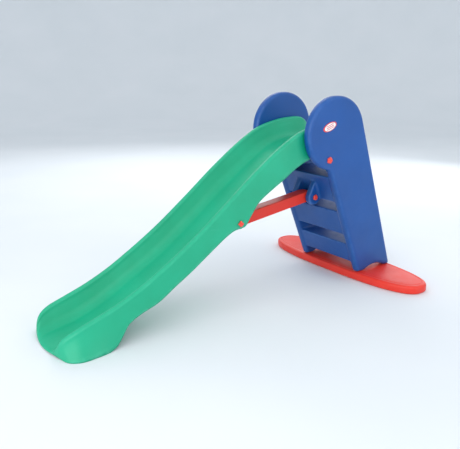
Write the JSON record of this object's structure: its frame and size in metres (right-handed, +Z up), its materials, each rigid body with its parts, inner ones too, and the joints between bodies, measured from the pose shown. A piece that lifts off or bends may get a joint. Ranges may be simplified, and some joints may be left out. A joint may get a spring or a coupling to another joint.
{
  "type": "toddler slide",
  "caption": "Folding toddler slide: a moulded chute hinged between the round ears of a step ladder on a wide oval base, propped by a swinging brace.",
  "frame": {"origin": "middle of the footprint box, on the floor", "axes": "+X from the chute's exit to the ladder, +Z up, left is -Y for a child facing down the chute"},
  "size_m": [1.698, 0.965, 0.872],
  "materials": {
    "blue_plastic": "satin rotomoulded polyethylene",
    "green_plastic": "satin moulded polyethylene",
    "red_plastic": "satin blow-moulded polyethylene",
    "red_fastener": "moulded head",
    "nylon": "natural nylon",
    "steel": "zinc plated",
    "badge": "plain oval decal with three bars, no lettering"
  },
  "bodies": {
    "stand": {"ladder": "blue_plastic", "base": "red_plastic", "slide_hinge_bolt_left": "red_fastener", "slide_hinge_nut_left": "nylon", "slide_hinge_sleeve_left": "nylon", "badge_left": "badge", "slide_hinge_bolt_right": "red_fastener", "slide_hinge_nut_right": "nylon", "slide_hinge_sleeve_right": "nylon", "badge_right": "badge", "brace_pivot_bolt": "red_fastener", "brace_pivot_nut": "nylon", "base_screw_front_left": "steel", "base_screw_front_right": "steel", "base_screw_rear_left": "steel", "base_screw_rear_right": "steel", "base_insert_front_left": "steel", "base_insert_front_right": "steel", "base_insert_rear_left": "steel", "base_insert_rear_right": "steel"},
    "chute": {"slide": "green_plastic", "brace_rod": "steel", "brace_rod_cap_left": "red_fastener", "brace_rod_cap_right": "red_fastener"},
    "brace_arm": {"brace": "red_plastic", "brace_pivot_sleeve": "nylon"}
  },
  "joints": [
    {"name": "slide_fold", "type": "hinge", "parent": "stand", "child": "chute", "pos_m": [0.387, 0, 0.601], "axis": [0, -1, 0], "range_deg": [0, 70]},
    {"name": "brace_swing", "type": "hinge", "parent": "stand", "child": "brace_arm", "pos_m": [0.439, 0, 0.405], "axis": [0, -1, 0], "range_deg": [0, 97.1]}
  ],
  "couplings": [
    {"joint": "brace_swing", "follows": "slide_fold", "ratio": 1.386}
  ]
}
